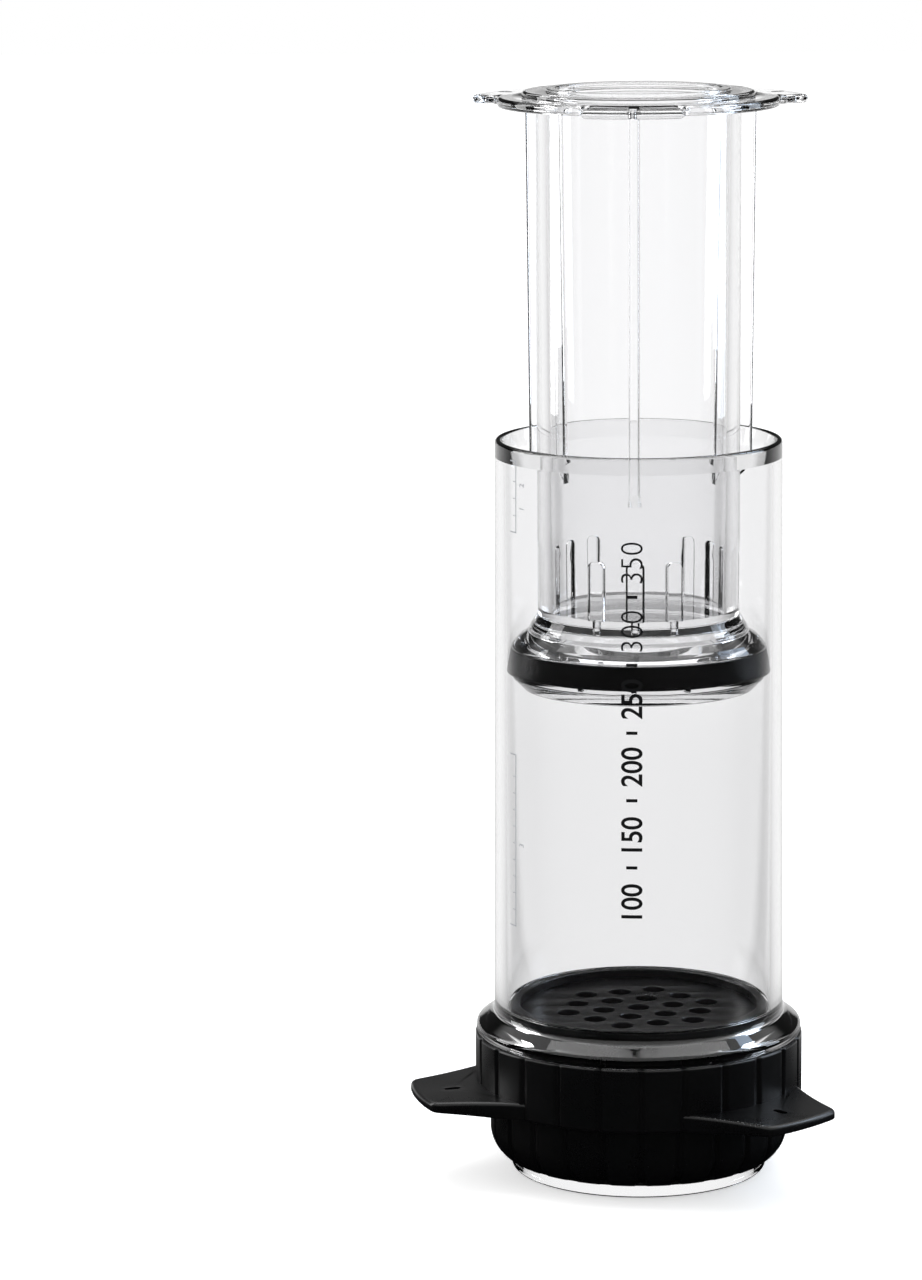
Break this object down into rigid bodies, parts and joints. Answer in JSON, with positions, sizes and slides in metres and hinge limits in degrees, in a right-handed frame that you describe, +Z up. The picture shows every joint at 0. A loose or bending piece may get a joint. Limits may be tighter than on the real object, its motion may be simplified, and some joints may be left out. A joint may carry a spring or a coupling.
{
  "type": "piston coffee press",
  "caption": "Clear piston coffee press: a finned water plunger slides in a brew tube over a twist-off perforated filter cap, with a winged ribbed collar that rests on a mug.",
  "frame": {"origin": "on the press's axis, on the plane that its foot stands on", "axes": "+Z up along the axis, -Y the front that the picture shows, +X to the right"},
  "size_m": [0.101, 0.1001, 0.259],
  "materials": {
    "clear_plastic": "water-clear moulded copolyester, polished",
    "black_plastic": "black moulded plastic, satin with a soft sheen",
    "black_silicone": "black silicone rubber, matte"
  },
  "bodies": {
    "chamber": {"brew_chamber": "clear_plastic"},
    "cap": {"filter_cap": "black_plastic", "filter_plate": "black_plastic", "outlet_ring": "clear_plastic", "chamber_gasket": "black_silicone"},
    "collar": {"winged_collar": "black_plastic"},
    "seal": {"piston_seal": "black_silicone"},
    "plunger": {"plunger_tube": "clear_plastic", "finger_flange": "clear_plastic", "jet_plate": "clear_plastic"}
  },
  "joints": [
    {"name": "plunger_slide", "type": "slide", "parent": "chamber", "child": "seal", "axis": [0, 0, 1], "range_m": [-0.0758, 0.062]},
    {"name": "plunger_turn", "type": "hinge", "parent": "seal", "child": "plunger", "pos_m": [0, 0, 0.1244], "axis": [0, 0, 1], "continuous": true},
    {"name": "cap_twist", "type": "hinge", "parent": "chamber", "child": "cap", "pos_m": [0, 0, 0.0243], "axis": [0, 0, 1], "range_deg": [0, 40]},
    {"name": "collar_turn", "type": "hinge", "parent": "chamber", "child": "collar", "pos_m": [0, 0, 0.0318], "axis": [0, 0, 1], "continuous": true}
  ]
}
